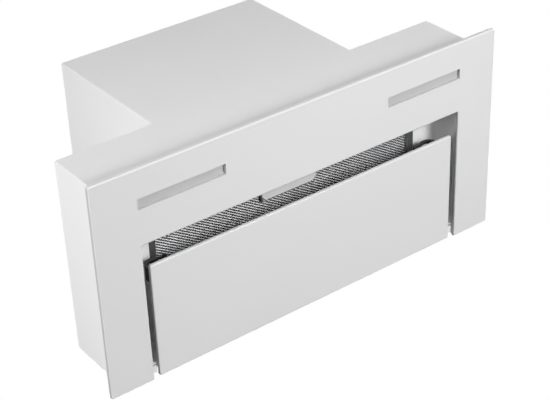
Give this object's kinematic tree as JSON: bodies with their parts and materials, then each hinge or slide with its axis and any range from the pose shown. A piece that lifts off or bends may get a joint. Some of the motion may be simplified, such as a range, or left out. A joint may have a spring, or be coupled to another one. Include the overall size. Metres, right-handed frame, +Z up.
{
  "type": "built-in range hood",
  "caption": "Built-in range hood with a white glass fascia, a drop-down suction flap, lamp slots, a grease filter behind the flap and a blower box with a round duct outlet.",
  "frame": {"origin": "centre of the fascia's lower glass face, which is the bottom of the hood as installed", "axes": "+Z up towards the duct outlet, -Y towards the cook, +X to the right as seen by someone facing the wall"},
  "size_m": [0.598, 0.2872, 0.3665],
  "materials": {
    "white_glass": "glossy white, painted on its hidden face",
    "white_steel": "satin white powder coat",
    "zinc_steel": "zinc-plated sheet",
    "filter_metal": "dull grey anodised",
    "grey_plastic": "satin grey",
    "black_plastic": "fine matt black",
    "white_plastic": "satin white",
    "diffuser": "frosted",
    "board": "green solder mask",
    "spring_steel": "bright",
    "rubber": "matt"
  },
  "bodies": {
    "hood": {"fascia_glass": "white_glass", "fascia_carrier": "zinc_steel", "body_casing": "white_steel", "motor_casing": "white_steel", "recess_pan": "white_steel", "lamp_holder_left": "white_plastic", "lamp_holder_right": "white_plastic", "lamp_diffuser_left": "diffuser", "lamp_diffuser_right": "diffuser", "lamp_strip_left": "board", "lamp_strip_right": "board", "filter_frame": "filter_metal", "filter_mesh_front": "filter_metal", "filter_mesh_back": "filter_metal", "filter_core": "filter_metal", "latch_case": "black_plastic", "latch_springs": "spring_steel", "hinge_bracket_left": "zinc_steel", "hinge_bracket_right": "zinc_steel", "hinge_pin_left": "spring_steel", "hinge_pin_right": "spring_steel", "catch_strike_left": "zinc_steel", "catch_strike_right": "zinc_steel", "blower_housing_left": "black_plastic", "blower_housing_right": "black_plastic", "motor_housing": "zinc_steel", "motor_bracket": "zinc_steel", "motor_buffers": "rubber", "capacitor": "white_plastic", "capacitor_clip": "zinc_steel", "duct_collar": "black_plastic", "damper_pin": "spring_steel", "control_box": "black_plastic", "control_board": "board", "control_lid": "black_plastic", "lamp_driver": "white_plastic", "terminal_box": "white_plastic", "cable_gland": "black_plastic"},
    "flap": {"flap_glass": "white_glass", "flap_tray": "white_steel", "hinge_leaf_left": "zinc_steel", "hinge_leaf_right": "zinc_steel", "catch_body_left": "black_plastic", "catch_body_right": "black_plastic", "catch_spring_left": "spring_steel", "catch_spring_right": "spring_steel"},
    "filter_latch": {"latch_handle": "white_plastic"},
    "impeller": {"impeller": "black_plastic", "blade_row_left": "black_plastic", "blade_row_right": "black_plastic", "motor_shaft": "spring_steel"},
    "damper_front": {"damper_flap_front": "black_plastic"},
    "damper_rear": {"damper_flap_rear": "black_plastic"},
    "roller_left": {"catch_roller_left": "grey_plastic"},
    "roller_right": {"catch_roller_right": "grey_plastic"}
  },
  "joints": [
    {"name": "flap_hinge", "type": "hinge", "parent": "hood", "child": "flap", "pos_m": [0, 0.1365, 0.009], "axis": [1, 0, 0], "range_deg": [0, 88]},
    {"name": "latch_slide", "type": "slide", "parent": "hood", "child": "filter_latch", "axis": [0, 1, 0], "range_m": [0, 0.006], "stiffness_N_per_m": 600, "springref_m": -0.003, "deforming": ["latch_springs"]},
    {"name": "impeller_spin", "type": "hinge", "parent": "hood", "child": "impeller", "pos_m": [0, -0.02, 0.216], "axis": [1, 0, 0], "continuous": true},
    {"name": "damper_front_swing", "type": "hinge", "parent": "hood", "child": "damper_front", "pos_m": [0, 0.05475, 0.3305], "axis": [-1, 0, 0], "range_deg": [0, 80]},
    {"name": "damper_rear_swing", "type": "hinge", "parent": "hood", "child": "damper_rear", "pos_m": [0, 0.05475, 0.3305], "axis": [1, 0, 0], "range_deg": [0, 80]},
    {"name": "catch_left_slide", "type": "slide", "parent": "flap", "child": "roller_left", "axis": [1, 0, 0], "range_m": [0, 0.0025], "stiffness_N_per_m": 1500, "springref_m": -0.002, "deforming": ["catch_spring_left"]},
    {"name": "catch_right_slide", "type": "slide", "parent": "flap", "child": "roller_right", "axis": [-1, 0, 0], "range_m": [0, 0.0025], "stiffness_N_per_m": 1500, "springref_m": -0.002, "deforming": ["catch_spring_right"]}
  ]
}
